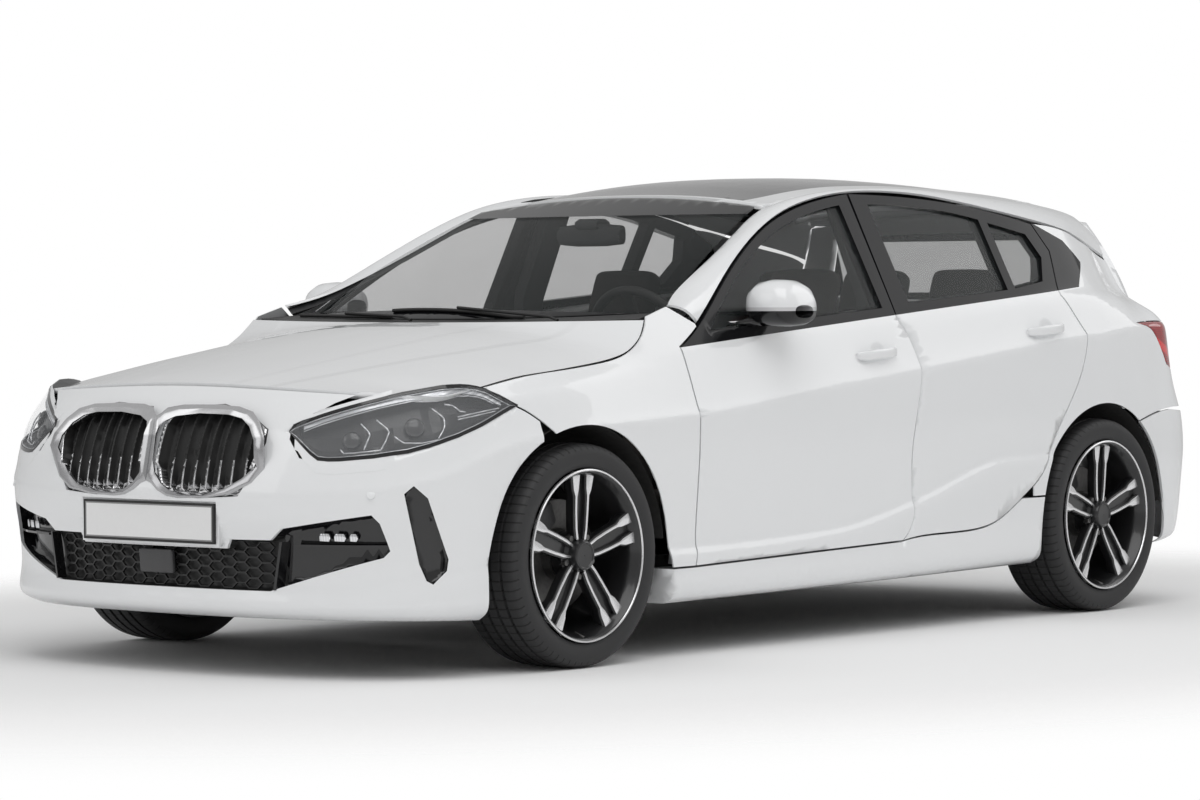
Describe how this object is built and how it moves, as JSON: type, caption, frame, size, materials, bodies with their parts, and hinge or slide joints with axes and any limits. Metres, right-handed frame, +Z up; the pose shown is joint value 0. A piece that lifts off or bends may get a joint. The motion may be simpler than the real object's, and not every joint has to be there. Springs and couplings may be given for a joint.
{
  "type": "hatchback car",
  "caption": "Five-door hatchback car with steered front wheels, opening doors, bonnet and tailgate.",
  "frame": {"origin": "centre of the box around the car, on the ground under the tyres", "axes": "+X forwards, +Y to the car's left, +Z up"},
  "size_m": [4.319, 1.984, 1.4335],
  "materials": {
    "body_paint": "gloss white clear-coated paint",
    "painted_steel": "matt primed sheet steel",
    "glass": "clear tinted glass",
    "lamp_lens": "clear lens",
    "red_lens": "gloss red lens",
    "satin_chrome": "satin chrome",
    "dark_plastic": "grained black",
    "plate": "blank white plate",
    "tyre": "matt rubber",
    "alloy": "machined and painted alloy",
    "cast_metal": "cast metal",
    "seat_cloth": "woven cloth"
  },
  "bodies": {
    "body": {"body_frames": "painted_steel", "bulkhead": "painted_steel", "cantrails": "body_paint", "cowl": "dark_plastic", "dashboard": "dark_plastic", "engine_block": "cast_metal", "fenders": "body_paint", "floor_pan": "painted_steel", "front_arch_liners": "dark_plastic", "front_bumper": "body_paint", "front_plate": "plate", "front_rails": "painted_steel", "front_seats": "seat_cloth", "front_subframe": "cast_metal", "headlamp_housings": "dark_plastic", "headlamp_lenses": "lamp_lens", "kidney_grilles": "satin_chrome", "load_floor": "painted_steel", "load_walls": "dark_plastic", "lower_grille": "dark_plastic", "rear_arch_liners": "dark_plastic", "rear_axle": "cast_metal", "rear_bench": "seat_cloth", "rear_bumper": "body_paint", "rear_quarters": "body_paint", "roof_panel": "body_paint", "side_sills": "body_paint", "tail_lamps": "red_lens", "windscreen": "glass"},
    "door_front_left": {"door_front_left": "body_paint", "glass_front_left": "glass", "door_mirror_left": "body_paint"},
    "door_rear_left": {"door_rear_left": "body_paint", "glass_rear_left": "glass"},
    "knuckle_left": {"knuckle_left": "cast_metal"},
    "wheel_front_left": {"tyre_front_left": "tyre", "rim_front_left": "alloy"},
    "wheel_rear_left": {"tyre_rear_left": "tyre", "rim_rear_left": "alloy"},
    "door_front_right": {"door_front_right": "body_paint", "glass_front_right": "glass", "door_mirror_right": "body_paint"},
    "door_rear_right": {"door_rear_right": "body_paint", "glass_rear_right": "glass"},
    "knuckle_right": {"knuckle_right": "cast_metal"},
    "wheel_front_right": {"tyre_front_right": "tyre", "rim_front_right": "alloy"},
    "wheel_rear_right": {"tyre_rear_right": "tyre", "rim_rear_right": "alloy"},
    "bonnet": {"bonnet": "body_paint"},
    "tailgate": {"tailgate": "body_paint", "rear_window": "glass", "tailgate_lamps": "red_lens"},
    "steering_wheel": {"steering_wheel": "dark_plastic"}
  },
  "joints": [
    {"name": "steer_left", "type": "hinge", "parent": "body", "child": "knuckle_left", "pos_m": [1.2975, 0.7025, 0.3186], "axis": [0, -0.2504, 0.9681], "range_deg": [-33, 33]},
    {"name": "steer_right", "type": "hinge", "parent": "body", "child": "knuckle_right", "pos_m": [1.2975, -0.7025, 0.3186], "axis": [0, 0.2504, 0.9681], "range_deg": [-33, 33]},
    {"name": "steering_turn", "type": "hinge", "parent": "body", "child": "steering_wheel", "pos_m": [0.40305, 0.37, 0.89625], "axis": [-0.9135, 0, 0.4067], "range_deg": [-430, 430]},
    {"name": "wheel_front_left_spin", "type": "hinge", "parent": "knuckle_left", "child": "wheel_front_left", "pos_m": [1.2975, 0.7825, 0.3186], "axis": [0, 1, 0], "continuous": true},
    {"name": "wheel_front_right_spin", "type": "hinge", "parent": "knuckle_right", "child": "wheel_front_right", "pos_m": [1.2975, -0.7825, 0.3186], "axis": [0, 1, 0], "continuous": true},
    {"name": "wheel_rear_left_spin", "type": "hinge", "parent": "body", "child": "wheel_rear_left", "pos_m": [-1.3725, 0.7825, 0.3186], "axis": [0, 1, 0], "continuous": true},
    {"name": "wheel_rear_right_spin", "type": "hinge", "parent": "body", "child": "wheel_rear_right", "pos_m": [-1.3725, -0.7825, 0.3186], "axis": [0, 1, 0], "continuous": true},
    {"name": "door_front_left_hinge", "type": "hinge", "parent": "body", "child": "door_front_left", "pos_m": [0.7595, 0.893, 0.6], "axis": [0, 0, -1], "range_deg": [0, 68]},
    {"name": "door_rear_left_hinge", "type": "hinge", "parent": "body", "child": "door_rear_left", "pos_m": [-0.3105, 0.893, 0.6], "axis": [0, 0, -1], "range_deg": [0, 68]},
    {"name": "door_front_right_hinge", "type": "hinge", "parent": "body", "child": "door_front_right", "pos_m": [0.7595, -0.893, 0.6], "axis": [0, 0, 1], "range_deg": [0, 68]},
    {"name": "door_rear_right_hinge", "type": "hinge", "parent": "body", "child": "door_rear_right", "pos_m": [-0.3105, -0.893, 0.6], "axis": [0, 0, 1], "range_deg": [0, 68]},
    {"name": "bonnet_hinge", "type": "hinge", "parent": "body", "child": "bonnet", "pos_m": [0.89166, 0, 0.9952], "axis": [0, -1, 0], "range_deg": [0, 50]},
    {"name": "tailgate_hinge", "type": "hinge", "parent": "body", "child": "tailgate", "pos_m": [-1.58145, 0, 1.37736], "axis": [0, 1, 0], "range_deg": [0, 75]}
  ],
  "couplings": [
    {"joint": "steer_right", "follows": "steer_left", "ratio": 1},
    {"joint": "steering_turn", "follows": "steer_left", "ratio": 13}
  ]
}
